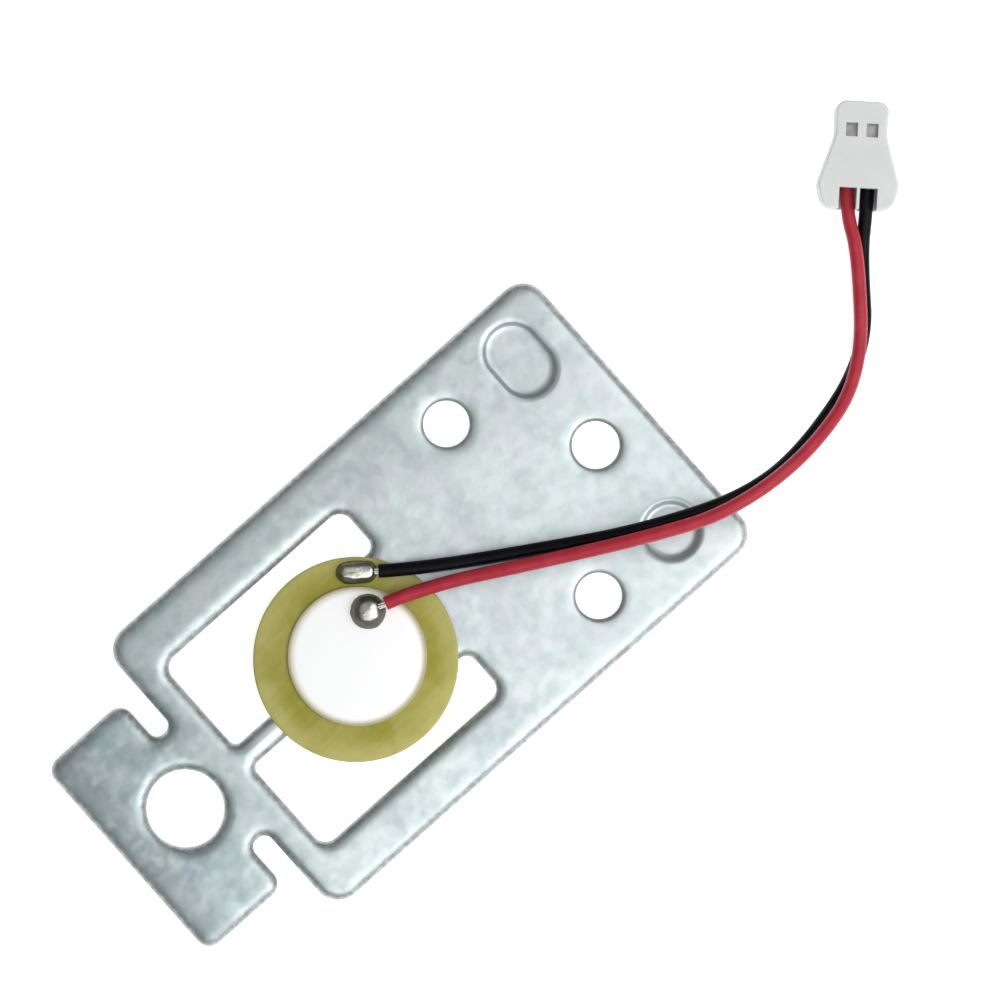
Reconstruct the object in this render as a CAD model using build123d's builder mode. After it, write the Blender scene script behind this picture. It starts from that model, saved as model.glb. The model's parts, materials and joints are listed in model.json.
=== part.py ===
from build123d import *
import os
from math import cos, radians, sin, tan

# Piezo sensor: a stamped steel mounting plate that carries a bonded piezo disc on a narrow
# pad, with two soldered leads ending in a small two-way crimp connector.
# Millimetres, +Z up.  X runs along the plate from the tab to the far edge, and the origin
# lies under the middle of the plate, on the surface that the part stands on.

# ---- stamped plate -------------------------------------------------------------------
sheet_t = 1.5
plate_len = 50.3
plate_width = 25.7
frame_corner_r = 1.9
tab_len = 7.35
tab_width = 17.9
tab_corner_r = 1.1
notch_len = 1.65
notch_reach = 10.3          # width of the metal left between the two notches
notch_end_r = 0.7
edge_roll_width = 0.5       # soft upper edges that the blanking leaves
edge_roll_depth = 0.25
boss_height = 0.5           # how far the half-sheared bosses stand out below
boss_draft = 0.1            # a boss is this much smaller all round than its recess

# ---- windows, tongue, pad and neck ---------------------------------------------------
frame_bar = 2.35            # metal between the notches and the windows
rail_width = 3.95           # metal outside each window
window_overlap = 1.0        # the disc reaches this far past the far ends of the windows
window_corner_r = 1.1
tongue_width = 1.9
tongue_fillet_r = 0.6
neck_width = 10.2
neck_fillet_r = 0.8
disc_offset = 22.3          # from the tab end to the centre of the piezo disc
disc_side_shift = -0.1      # the disc was bonded a little to one side

# ---- holes and half-sheared bosses ---------------------------------------------------
tab_hole_r = 2.875
tab_hole_inset = 5.7        # from the tab end
screw_hole_r = 1.7
hole_pair_inset = 11.65     # from the far end
hole_pair_edge = 4.45       # from the long edges
end_hole_r = 1.75
end_hole_inset = 4.5        # from the far end
boss_inset = 4.55           # from the far end
boss_edge = 4.525           # from the long edges
boss_r = 2.2
long_boss_len = 6.0         # across the plate

# ---- piezo disc ----------------------------------------------------------------------
brass_r = 7.5
brass_t = 0.2
glue_t = 0.1
glue_margin = 1.1           # the bonding film ends this far inside the brass
pad_margin = 0.7            # the pad ends this far inside the brass
brass_ring = 2.4            # brass left bare round the ceramic
ceramic_t = 0.22
ceramic_shift = 0.25        # the ceramic sits a little off the middle of the brass
electrode_margin = 0.4      # bare rim of ceramic round the electrode
electrode_t = 0.05

# ---- leads and solder ----------------------------------------------------------------
lead_d = 1.0
conductor_d = 0.5
lead_gap = 0.05             # air under a lead where it starts
bare_len = 0.12             # bare conductor between the solder and the insulation
joint_black_bearing = 47.9  # round the brass, from +X
joint_black_rim = 1.13      # from the edge of the brass to the middle of the mound
joint_black_angle = -38.2   # the way that its lead leaves
joint_black_len = 3.0
joint_black_width = 1.7
joint_black_height = 0.95
joint_black_taper = 15.0
joint_black_edge = 0.4
joint_red_bearing = 35.3    # round the electrode, from +X
joint_red_rim = 1.33        # from the edge of the electrode to the middle of the blob
joint_red_angle = -17.8
joint_red_r = 1.3
joint_red_height = 1.0
first_run_black = 3.2
first_run_red = 3.1

# ---- connector housing ---------------------------------------------------------------
housing_len = 7.85
housing_height = 3.4
housing_angle = 45.0        # from +X, turned about Z
housing_rear = (46.26, 0.24)
front_width = 3.9
waist_width = 3.7
waist_from_front = 2.45
flare_width = 6.0           # the sides spread towards the rear, for a finger grip
flare_from_rear = 1.7
rear_width = 5.0
front_corner_r = 0.8
waist_r = 3.0
flare_r = 1.2
rear_corner_r = 0.9
housing_edge = 0.2
pitch = 1.5
front_wall = 0.6
pin_opening = 0.72
window_along = 1.0
window_across = 0.86
window_from_front = 2.1
trough_len = 1.55           # behind the cavities, where their tops are open

# ---- crimp terminals -----------------------------------------------------------------
cavity_clearance = 0.03     # all round the widest part of a terminal
crimp_metal = 0.1
crimp_clearance = 0.02
crimp_start = 1.6           # from the rear of the housing
crimp_len = 0.6
barrel_len = 1.2
barrel_size = 0.8
neck_len = 0.3
socket_wall = 0.15
last_run = 2.3

# Levels, from the thicknesses
plate_top = boss_height + sheet_t
brass_bottom = plate_top + glue_t
brass_top = brass_bottom + brass_t
ceramic_top = brass_top + ceramic_t
electrode_top = ceramic_top + electrode_t

# Places along the plate
tab_end = -plate_len / 2
far_end = plate_len / 2
frame_start = tab_end + tab_len + notch_len
disc_x = tab_end + disc_offset
disc_y = disc_side_shift
window_x0 = frame_start + frame_bar
window_x1 = disc_x + brass_r - window_overlap
window_width = plate_width - 2 * rail_width
boss_x = far_end - boss_inset
boss_y = plate_width / 2 - boss_edge

# The disc, from the brass inwards
pad_r = brass_r - pad_margin
ceramic_r = brass_r - brass_ring
electrode_r = ceramic_r - electrode_margin
disc_centre = (disc_x, disc_y)
ceramic_centre = (disc_x + ceramic_shift, 0)


def near_y(shape_list, distance):
    """The items whose centres lie the given distance to either side of the X axis."""
    return shape_list.filter_by(lambda item: abs(abs(item.center().Y) - distance) < 0.01)


def outline_at(z, inset):
    """Add the outlines of both bosses, drawn in by inset, to a new sketch at height z."""
    with BuildSketch(Plane.XY.offset(z)) as outlines:
        with Locations((boss_x, boss_y)):
            SlotOverall(long_boss_len - 2 * inset, 2 * (boss_r - inset), rotation=90)
        with Locations((boss_x, -boss_y)):
            Circle(boss_r - inset)
    return outlines.sketch


# ---- bracket plate -------------------------------------------------------------------
with BuildPart() as bracket_plate:
    with BuildSketch(Plane.XY.offset(boss_height)):
        with Locations((frame_start, 0)):
            Rectangle(far_end - frame_start, plate_width, align=(Align.MIN, Align.CENTER))
        with Locations((tab_end, 0)):
            Rectangle(tab_len, tab_width, align=(Align.MIN, Align.CENTER))
            Rectangle(tab_len + notch_len, notch_reach, align=(Align.MIN, Align.CENTER))
        fillet(near_y(vertices(), plate_width / 2), frame_corner_r)
        fillet(near_y(vertices(), tab_width / 2), tab_corner_r)
        fillet(near_y(vertices(), notch_reach / 2), notch_end_r)
    extrude(amount=sheet_t)
    with BuildSketch(Plane.XY.offset(boss_height)):
        with Locations((window_x0, 0)):
            Rectangle(window_x1 - window_x0, window_width, align=(Align.MIN, Align.CENTER))
            Rectangle(disc_x - window_x0, tongue_width, align=(Align.MIN, Align.CENTER),
                      mode=Mode.SUBTRACT)
        with Locations((window_x1, 0)):
            Rectangle(window_x1 - disc_x, neck_width, align=(Align.MAX, Align.CENTER),
                      mode=Mode.SUBTRACT)
        with Locations(disc_centre):
            Circle(pad_r, mode=Mode.SUBTRACT)
        fillet(near_y(vertices(), window_width / 2), window_corner_r)
        fillet(near_y(vertices(), tongue_width / 2), tongue_fillet_r)
        fillet(near_y(vertices(), neck_width / 2), neck_fillet_r)
    extrude(amount=sheet_t, mode=Mode.SUBTRACT)
    with BuildSketch(Plane.XY.offset(boss_height)):
        with Locations((tab_end + tab_hole_inset, 0)):
            Circle(tab_hole_r)
        with Locations((far_end - hole_pair_inset, 0)):
            with GridLocations(0, plate_width - 2 * hole_pair_edge, 1, 2):
                Circle(screw_hole_r)
        with Locations((far_end - end_hole_inset, 0)):
            Circle(end_hole_r)
    extrude(amount=sheet_t, mode=Mode.SUBTRACT)
    recesses = outline_at(plate_top, 0)
    extrude(recesses, amount=-boss_height, mode=Mode.SUBTRACT)
    top_face = faces().sort_by(Axis.Z)[-1]
    chamfer(top_face.edges(), edge_roll_width, edge_roll_depth, reference=top_face)
    extrude(outline_at(boss_height, boss_draft), amount=-boss_height)
bracket_plate.part.label = "bracket_plate"


# ---- piezo disc: bonding film, brass, ceramic and electrode ---------------------------
def flat_disc(centre, radius, bottom, thickness):
    """A plain disc with its lower face at the given height."""
    with BuildPart() as disc:
        with BuildSketch(Plane.XY.offset(bottom)):
            with Locations(centre):
                Circle(radius)
        extrude(amount=thickness)
    return disc


adhesive_film = flat_disc(disc_centre, brass_r - glue_margin, plate_top, glue_t)
adhesive_film.part.label = "adhesive_film"
brass_disc = flat_disc(disc_centre, brass_r, brass_bottom, brass_t)
brass_disc.part.label = "brass_disc"
ceramic_disc = flat_disc(ceramic_centre, ceramic_r, brass_top, ceramic_t)
ceramic_disc.part.label = "ceramic_disc"
silver_electrode = flat_disc(ceramic_centre, electrode_r, ceramic_top, electrode_t)
silver_electrode.part.label = "silver_electrode"

# ---- soldered ends: bare conductors and solder ----------------------------------------


def joint_plane(centre, distance, bearing, z, angle):
    """A level plane at a solder joint whose X axis points along the lead that leaves it."""
    x = centre[0] + distance * cos(radians(bearing))
    y = centre[1] + distance * sin(radians(bearing))
    lead_way = (cos(radians(angle)), sin(radians(angle)), 0)
    return Plane(origin=(x, y, z), x_dir=lead_way, z_dir=(0, 0, 1))


def conductor_end(plane, length):
    """A bare conductor from the middle of a joint to the start of the insulation."""
    with BuildPart() as stub:
        with BuildSketch(Plane(origin=plane.origin, x_dir=plane.y_dir, z_dir=plane.x_dir)):
            Circle(conductor_d / 2)
        extrude(amount=length)
    return stub


black_base = joint_plane(disc_centre, brass_r - joint_black_rim, joint_black_bearing,
                         brass_top, joint_black_angle)
red_base = joint_plane(ceramic_centre, electrode_r - joint_red_rim, joint_red_bearing,
                       electrode_top, joint_red_angle)
lead_lift = lead_gap + lead_d / 2
black_joint_plane = black_base.offset(lead_lift)
red_joint_plane = red_base.offset(lead_lift)
black_bare = joint_black_len / 2 + bare_len
red_bare = joint_red_r + bare_len
black_conductor = conductor_end(black_joint_plane, black_bare)
black_conductor.part.label = "black_conductor"
red_conductor = conductor_end(red_joint_plane, red_bare)
red_conductor.part.label = "red_conductor"

with BuildPart() as solder_joint_black:
    with BuildSketch(black_base):
        SlotOverall(joint_black_len, joint_black_width)
    extrude(amount=joint_black_height, taper=joint_black_taper)
    chamfer(faces().sort_by(Axis.Z)[-1].edges(), joint_black_edge)
    add(black_conductor.part, mode=Mode.SUBTRACT)
solder_joint_black.part.label = "solder_joint_black"

with BuildPart() as solder_joint_red:
    cap_r = (joint_red_r ** 2 + joint_red_height ** 2) / (2 * joint_red_height)
    with Locations(red_base.offset(joint_red_height - cap_r)):
        Sphere(cap_r)
    split(bisect_by=Plane.XY.offset(electrode_top))
    add(red_conductor.part, mode=Mode.SUBTRACT)
solder_joint_red.part.label = "solder_joint_red"

# ---- connector housing ---------------------------------------------------------------
# Its own plane has X along the housing from the rear, Y to the left, and Z up.
turn = radians(housing_angle)
housing_plane = Plane(origin=(*housing_rear, 0), x_dir=(cos(turn), sin(turn), 0),
                      z_dir=(0, 0, 1))
cavity_z = housing_height / 2
crimp_r = lead_d / 2 + crimp_clearance
cavity_width = 2 * (crimp_r + crimp_metal + cavity_clearance)
window_station = housing_len - window_from_front
left_side = [
    (0, rear_width / 2),
    (flare_from_rear, flare_width / 2),
    (housing_len - waist_from_front, waist_width / 2),
    (housing_len, front_width / 2),
]
right_side = [(station, -half_width) for station, half_width in reversed(left_side)]

with BuildPart() as connector_housing:
    with BuildSketch(housing_plane):
        Polygon(*left_side, *right_side, align=None)
        fillet(near_y(vertices(), front_width / 2), front_corner_r)
        fillet(near_y(vertices(), waist_width / 2), waist_r)
        fillet(near_y(vertices(), flare_width / 2), flare_r)
        fillet(near_y(vertices(), rear_width / 2), rear_corner_r)
    extrude(amount=housing_height)
    chamfer(faces().sort_by(Axis.Z)[-1].edges(), housing_edge)
    with BuildSketch(housing_plane.offset(cavity_z - cavity_width / 2)):
        with Locations((0, pitch / 2), (0, -pitch / 2)):
            Rectangle(housing_len - front_wall, cavity_width, align=(Align.MIN, Align.CENTER))
    extrude(amount=cavity_width, mode=Mode.SUBTRACT)
    with BuildSketch(housing_plane.offset(cavity_z - pin_opening / 2)):
        with Locations((0, pitch / 2), (0, -pitch / 2)):
            Rectangle(housing_len, pin_opening, align=(Align.MIN, Align.CENTER))
    extrude(amount=pin_opening, mode=Mode.SUBTRACT)
    with BuildSketch(housing_plane.offset(housing_height)):
        with Locations((window_station, pitch / 2), (window_station, -pitch / 2)):
            Rectangle(window_along, window_across)
        with Locations((0, pitch / 2), (0, -pitch / 2)):
            Rectangle(trough_len, cavity_width, align=(Align.MIN, Align.CENTER))
    extrude(amount=-cavity_z, mode=Mode.SUBTRACT)
connector_housing.part.label = "connector_housing"


# ---- crimp terminals -----------------------------------------------------------------
def crimp_terminal(side):
    """A rolled insulation crimp, a closed conductor barrel, a neck and a box socket."""
    y = side * pitch / 2
    axis_origin = housing_plane.from_local_coords((crimp_start, y, cavity_z))
    end_plane = Plane(origin=axis_origin, x_dir=housing_plane.y_dir, z_dir=housing_plane.x_dir)
    socket_width = cavity_width - 2 * cavity_clearance
    socket_start = crimp_len + barrel_len + neck_len
    socket_len = housing_len - front_wall - cavity_clearance - crimp_start - socket_start
    with BuildPart() as terminal:
        with BuildSketch(end_plane):
            Circle(crimp_r + crimp_metal)
            Circle(crimp_r, mode=Mode.SUBTRACT)
        extrude(amount=crimp_len)
        with BuildSketch(end_plane.offset(crimp_len)):
            RectangleRounded(2 * (crimp_r + crimp_metal), barrel_size, barrel_size / 4)
        extrude(amount=barrel_len)
        with BuildSketch(end_plane.offset(crimp_len + barrel_len)):
            Rectangle(barrel_size, barrel_size / 2)
        extrude(amount=neck_len)
        with BuildSketch(end_plane.offset(socket_start)):
            Rectangle(socket_width, socket_width)
            Rectangle(socket_width - 2 * socket_wall, socket_width - 2 * socket_wall,
                      mode=Mode.SUBTRACT)
        extrude(amount=socket_len)
        with BuildSketch(end_plane.offset(socket_start)):
            Rectangle(socket_width, socket_width)
        extrude(amount=socket_wall)
    return terminal


crimp_terminal_black = crimp_terminal(-1)
crimp_terminal_black.part.label = "crimp_terminal_black"
crimp_terminal_red = crimp_terminal(1)
crimp_terminal_red.part.label = "crimp_terminal_red"


# ---- leads ---------------------------------------------------------------------------
def lead_route(joint, bare, first_run, free_points, side):
    """Route points from the soldered end, along the free points, into the terminal."""
    y = side * pitch / 2
    end_station = crimp_start + crimp_len
    return [
        joint.from_local_coords((bare, 0, 0)),
        joint.from_local_coords((bare + first_run, 0, 0)),
        *[Vector(*point) for point in free_points],
        housing_plane.from_local_coords((end_station - last_run, y, cavity_z)),
        housing_plane.from_local_coords((end_station, y, cavity_z)),
    ]


def bend_radii(points):
    """Each bend is as large as its two runs allow."""
    runs = [after - before for before, after in zip(points, points[1:])]
    radii = []
    for before, after in zip(runs, runs[1:]):
        half_turn = radians(before.get_angle(after)) / 2
        radii.append(0.45 * min(before.length, after.length) / tan(half_turn))
    return radii


def lead_tube(points):
    """A round lead along straight runs joined by tangent arcs."""
    with BuildPart() as tube:
        with BuildLine() as centre_line:
            FilletPolyline(*points, radius=bend_radii(points))
        start = Plane(origin=points[0], z_dir=points[1] - points[0])
        with BuildSketch(start):
            Circle(lead_d / 2)
        sweep(path=centre_line.line)
    return tube


# The two leads cross the plate side by side, rise over its edge, come down on the surface
# beyond it and swing round to the connector, with the red lead lying over the black one.
black_points = [
    (13.25, -3.4, 3.45),
    (18.6, -6.6, 4.75),
    (25.7, -9.8, 6.0),
    (31.45, -10.35, 3.25),
    (40.0, -8.25, 0.5),
    (44.4, -2.55, 0.65),
]
red_points = [
    (12.1, -3.75, 4.45),
    (19.15, -7.55, 5.85),
    (24.65, -10.05, 6.85),
    (31.7, -10.75, 5.05),
    (38.6, -9.15, 1.75),
    (44.3, -2.2, 2.05),
]
black_route = lead_route(black_joint_plane, black_bare, first_run_black, black_points, -1)
red_route = lead_route(red_joint_plane, red_bare, first_run_red, red_points, 1)
black_wire = lead_tube(black_route)
black_wire.part.label = "black_wire"
red_wire = lead_tube(red_route)
red_wire.part.label = "red_wire"
for name, route in (("black_wire", black_route), ("red_wire", red_route)):
    print(name, "bend radii", [round(radius, 1) for radius in bend_radii(route)])

# ---- files ---------------------------------------------------------------------------
os.makedirs("parts", exist_ok=True)
export_step(bracket_plate.part, "parts/bracket_plate.step")
export_step(adhesive_film.part, "parts/adhesive_film.step")
export_step(brass_disc.part, "parts/brass_disc.step")
export_step(ceramic_disc.part, "parts/ceramic_disc.step")
export_step(silver_electrode.part, "parts/silver_electrode.step")
export_step(black_conductor.part, "parts/black_conductor.step")
export_step(red_conductor.part, "parts/red_conductor.step")
export_step(solder_joint_black.part, "parts/solder_joint_black.step")
export_step(solder_joint_red.part, "parts/solder_joint_red.step")
export_step(black_wire.part, "parts/black_wire.step")
export_step(red_wire.part, "parts/red_wire.step")
export_step(connector_housing.part, "parts/connector_housing.step")
export_step(crimp_terminal_black.part, "parts/crimp_terminal_black.step")
export_step(crimp_terminal_red.part, "parts/crimp_terminal_red.step")
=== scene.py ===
import json
import math

import bmesh
import bpy
from mathutils import Matrix, Vector
from mathutils.bvhtree import BVHTree


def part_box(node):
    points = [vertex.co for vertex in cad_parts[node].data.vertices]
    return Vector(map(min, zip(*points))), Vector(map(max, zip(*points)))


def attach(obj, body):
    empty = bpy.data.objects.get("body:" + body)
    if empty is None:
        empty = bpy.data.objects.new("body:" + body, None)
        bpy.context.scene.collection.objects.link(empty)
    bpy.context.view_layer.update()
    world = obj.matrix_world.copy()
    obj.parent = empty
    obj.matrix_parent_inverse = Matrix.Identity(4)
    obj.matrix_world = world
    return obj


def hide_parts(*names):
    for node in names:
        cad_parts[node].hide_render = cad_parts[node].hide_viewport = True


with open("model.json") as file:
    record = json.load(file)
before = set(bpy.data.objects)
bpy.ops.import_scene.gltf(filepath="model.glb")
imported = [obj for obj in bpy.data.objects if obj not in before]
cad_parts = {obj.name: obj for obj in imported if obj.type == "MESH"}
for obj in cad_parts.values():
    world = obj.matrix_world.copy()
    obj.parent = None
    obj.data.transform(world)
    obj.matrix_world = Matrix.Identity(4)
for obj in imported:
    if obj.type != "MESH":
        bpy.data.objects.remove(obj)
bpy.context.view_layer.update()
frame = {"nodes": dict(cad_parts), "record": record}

bl_info = {
    "name": "Piezo sensor",
    "version": (1, 0, 0),
    "blender": (4, 5, 0),
    "location": "3D View > Sidebar > Piezo sensor",
    "description": "Models a stamped piezo sensor with its soldered leads and crimp connector",
    "category": "Add Mesh",
}

MM = 0.001
CLOSE = 1e-6                # places nearer to each other than this are the same
NEAR = 1e-5
MOUNTS = {mount["name"]: mount for mount in frame["record"]["mounts"]}

# ---- places and levels that the solids give ----
def disc_place(node):
    """The middle, the top and the radius of a disc."""
    low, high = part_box(node)
    return (low + high) / 2, high.z, (high.x - low.x) / 2


PLATE_LOW, PLATE_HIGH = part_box("bracket_plate")
BRASS_CENTRE, BRASS_TOP, BRASS_R = disc_place("brass_disc")
CERAMIC_CENTRE, CERAMIC_TOP, CERAMIC_R = disc_place("ceramic_disc")
SILVER_TOP, SILVER_R = disc_place("silver_electrode")[1:]
HOUSING_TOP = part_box("connector_housing")[1].z

# ---- plate ----
SHEET = 1.5 * MM
PLATE_TOP = PLATE_HIGH.z
PLATE_BOTTOM = PLATE_TOP - SHEET
HALF_WIDTH = PLATE_HIGH.y
TAB_LEN = 7.35 * MM
TAB_HALF = 8.95 * MM
NOTCH_LEN = 1.65 * MM
NOTCH_HALF = 5.15 * MM
BAR_OVERLAP = 1.5 * MM      # how far the bar between the notches runs into the tab and the frame
FRAME_START = PLATE_LOW.x + TAB_LEN + NOTCH_LEN
WINDOW_START = FRAME_START + 2.35 * MM
WINDOW_END = 3.65 * MM
WINDOW_HALF = 8.9 * MM
TONGUE_HALF = 0.95 * MM
NECK_HALF = 5.1 * MM
PAD_R = 6.8 * MM
FRAME_CORNER_R = 1.9 * MM
TAB_CORNER_R = 1.1 * MM
NOTCH_CORNER_R = 0.7 * MM
WINDOW_CORNER_R = 1.1 * MM
TONGUE_CORNER_R = 0.6 * MM
NECK_CORNER_R = 0.8 * MM
RECESS_X = 20.6 * MM
RECESS_Y = 8.325 * MM
RECESS_R = 2.2 * MM
LONG_RECESS = 6.0 * MM
BOSS_DRAFT = 0.1 * MM
BOSS_SINK = 0.2 * MM        # how far a boss reaches into the sheet
BOSS_EDGE = 0.06 * MM
LOOPS = 6                   # loops in the outer part of the soft roll, and in a flare
LOOP_REACH = 0.40 * MM      # where the loops of the soft roll end and its grid begins
GRID_STEP = 0.4 * MM
HOLE_LIP = 0.24 * MM        # how far the small holes' edges drop at the wall
LIP_CURVE = 1.8
HOLE_ROLL = 0.6             # share of the roll's depth that the small holes keep
FLARE_DROP = 0.09 * MM      # how far the flare of a recess drops before the wall
CORNER_STEPS = ((0.0, 0.0), (0.08, 0.18), (0.34, 0.50), (0.66, 0.80), (1.0, 1.0))
RECESS_STEPS = ((0.05, 0.13), (0.09, 0.19), (0.14, 0.27), (0.20, 0.35), (0.28, 0.42),
                (0.39, 0.465), (0.53, 0.49), (0.70, 0.5))
RECESS_DEPTH = 0.5 * MM
WALL_LEVEL = PLATE_BOTTOM + 0.3 * MM    # a level at which every wall stands upright
RIM_GAP = 0.002 * MM        # from the top of the sheet up to a recess tool's first ring

# Where each look of the plating, and each patch of painted shade or painted highlight, starts and
# where it is full, in mm
ZONES = {
    "lilac": (-2.0, 8.0),           # along the plate, towards its far end
    "even": (0.0, 14.0),
    # painted shade: the plating darker towards the tab, stronger on the side away from the light
    "tab_shade": (-11.0, -18.0),      # along the plate, towards the tab
    # bluish blotches, deepened into painted shade towards the tab
    "blotched_shade": (-15.0, -25.0),
    # painted shade at the outer end of the tab
    "tab_end_shade": (-21.2, -24.0),
    "tab_shade_side": (-7.0, -1.0),   # across the plate
    # painted shade in the mottle of the rail on the side away from the light
    "rail_shade_side": (4.0, 9.0),
    "tongue_start": (-13.2, -11.8),
    "tongue_end": (-6.0, -7.0),
    "tongue_side": (1.6, 0.9),
    "recess_ends": (3.0, 2.8),      # from the middle of the recesses
    "recess_outer": (12.2, 12.0),   # from the plate's middle line
    "recess_inner": (4.4, 4.7),
}
# bluish colour of the blotches and of the painted shade towards the tab
BLOTCHED_SHADE_ZINC = (0.285, 0.395, 0.435)
# colour of the painted shade at the outer end of the tab
TAB_END_SHADE_ZINC = (0.34, 0.38, 0.385)
# colour of the dull mottles, which also carry painted shade
DULL_ZINC = (0.34, 0.41, 0.42)
# colour of the painted highlight on the tongue
TONGUE_HIGHLIGHT_ZINC = (0.84, 0.89, 0.87)

# ---- solder: half length, half width, share of it that the sides take, lean of the crown ----
JOINTS = {
    "solder_joint_black": (1.5 * MM, 0.85 * MM, 0.74, 0.10 * MM),
    "solder_joint_red": (1.3 * MM, 1.3 * MM, 1.0, 0.06 * MM),
}
MOUND_STEPS = ((0.0, 0.0), (0.03, 0.07), (0.07, 0.20), (0.13, 0.36), (0.21, 0.52), (0.31, 0.68),
               (0.43, 0.81), (0.57, 0.91), (0.73, 0.975), (0.89, 1.0))
LUMP_SIZE = 0.7 * MM
LUMP_HEIGHT = 0.12 * MM
STRAND_R = 0.085 * MM
STRAND_MAX = 1.7 * MM
STRAND_BURIED = 0.12 * MM
STRAND_STEPS = 8
STRAND_TWIST = 0.9

# ---- connector, in its own frame: X from the rear along it, Y to its left ----
HOUSING_LEN = 7.85 * MM
HOUSING_TURN = math.radians(45.0)
HOUSING_REAR = Vector((46.26, 0.24, 0.0)) * MM
CONNECTOR_FRAME = Matrix.Translation(HOUSING_REAR) @ Matrix.Rotation(HOUSING_TURN, 4, "Z")
# Station, half width and corner radius down the side, in mm
HOUSING_SIDE = [(0.0, 2.5, 0.67), (1.7, 3.0, 0.36), (5.4, 1.85, 0.52), (7.85, 1.95, 0.77)]
PITCH = 1.5 * MM
CAVITY_Z = HOUSING_TOP / 2
CAVITY_HALF = 0.65 * MM
FRONT_WALL = 0.6 * MM
PIN_HALF = 0.36 * MM
LANCE_STATION = 5.75 * MM
LANCE_HALF_LEN = 0.5 * MM
LANCE_HALF_WIDTH = 0.43 * MM
TROUGH_LEN = 1.55 * MM
OPENINGS_HALF = 1.45 * MM   # the openings in the top lie inside this
CRIMP_START = 1.6 * MM
STRIP = 0.1 * MM
# Sections of the terminal, left and up in mm, and where each starts and ends along it
GRIP_R = 0.57
BARREL = [(0.03, 0.16), (0.16, 0.30), (0.34, 0.30), (0.46, 0.16), (0.46, -0.10),
          (0.32, -0.34), (0.0, -0.40), (-0.32, -0.34), (-0.46, -0.10),
          (-0.46, 0.16), (-0.34, 0.30), (-0.16, 0.30), (-0.03, 0.16)]
TROUGH = [(-0.36, 0.0), (-0.30, -0.42), (0.30, -0.42), (0.36, 0.0)]
SOCKET_HALF = 0.565
GRIP_SPAN, BARREL_SPAN = (0.0, 0.6), (0.75, 1.8)
TROUGH_SPAN, SOCKET_SPAN = (0.55, 2.2), (2.1, 5.9)

# ---- leads: route points from the soldered end into the terminal ----
BLACK_ROUTE = [
    (2.694, 3.625, 2.85),
    (5.208, 1.646, 2.85),
    (13.25, -3.4, 3.45),
    (18.6, -6.6, 4.75),
    (25.7, -9.8, 6.0),
    (31.45, -10.35, 3.25),
    (40.0, -8.25, 0.5),
    (44.4, -2.55, 0.65),
    (46.720, -0.361, 1.7),
    (48.346, 1.265, 1.7),
]
RED_ROUTE = [
    (1.502, 1.513, 3.12),
    (4.454, 0.566, 3.12),
    (12.1, -3.75, 4.45),
    (19.15, -7.55, 5.85),
    (24.65, -10.05, 6.85),
    (31.7, -10.75, 5.05),
    (38.6, -9.15, 1.75),
    (44.3, -2.2, 2.05),
    (45.659, 0.700, 1.7),
    (47.285, 2.326, 1.7),
]
BLACK_LENGTH = 0.0548
RED_LENGTH = 0.0552
FADED_BLACK, BLACK_SHEEN = (0.006, 0.006, 0.010), 0.10
FADED_RED, RED_SHEEN = (0.45, 0.035, 0.055), 0.25

# ---- studio ----
RIGHT = Vector((0.7484, -0.6633, 0.0))
UP = Vector((0.6633, 0.7484, 0.0))
OVERHEAD = Vector((0, 0, 1))
BRIGHT = (RIGHT * 0.87 - UP * 0.5).normalized()     # the side that the light comes from
VIEW_CENTRE = Vector((12.75, 1.58, 2.0)) * MM
SENSOR_WIDTH = 36.0
PANEL_SIZE = 0.20
PANEL_PLACE = BRIGHT * (PANEL_SIZE / 2 - 0.008) + OVERHEAD * 0.07
KEY_SIZE = 0.16
KEY_PLACE = BRIGHT * 0.32 + OVERHEAD * 0.30
FLOOR_SIZE = 1.6
FLOOR_PLACE = (0.01, 0, -0.02 * MM)


# ---- settings ----
def number_setting(name, description, default, low, high, **kind):
    return bpy.props.FloatProperty(name=name, description=description, default=default,
                                   min=low, max=high, **kind)


def size_setting(name, description, default, low, high):
    """A length in millimetres."""
    return number_setting(name, description, default * MM, low * MM, high * MM, unit="LENGTH")


def colour_setting(name, description, *default):
    return bpy.props.FloatVectorProperty(name=name, description=description, default=default,
                                         size=3, min=0, max=1, subtype="COLOR")


class PlateSettings(bpy.types.PropertyGroup):
    roll_width: size_setting(
        "Roll-over width", "How far the soft upper edges reach inwards", 0.75, 0.5, 1.5)
    roll_depth: size_setting(
        "Roll-over depth", "How far the soft upper edges drop", 0.10, 0.02, 0.4)
    corner_width: size_setting(
        "Corner width", "Width of the steep corner; a wider one would close over the tongue",
        0.50, 0.05, 0.5)
    corner_depth: size_setting(
        "Corner depth", "How far the steep corner drops to the sheared wall", 0.45, 0.05, 0.6)
    recess_flare: size_setting(
        "Recess flare", "How far the rims of the recesses roll outwards", 0.40, 0.1, 0.55)
    hole_ease: number_setting(
        "Hole ease", "Share of the corner's width at the small holes", 0.72, 0.4, 1.0,
        subtype="FACTOR")
    light_zinc: colour_setting(
        "Light zinc", "Colour of the bright patches of the plating", 0.645, 0.71, 0.70)
    dark_zinc: colour_setting(
        "Dark zinc", "Colour of the dull patches of the plating", 0.46, 0.535, 0.54)
    tint_zinc: colour_setting(
        "Passivated zinc", "Colour of the faintly lilac patches", 0.635, 0.61, 0.68)
    # the sheared walls' colour, also laid as painted shade on every steep face
    cut_and_shaded_zinc: colour_setting("Cut edge", "Colour of the sheared walls", 0.46, 0.50, 0.50)


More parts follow.
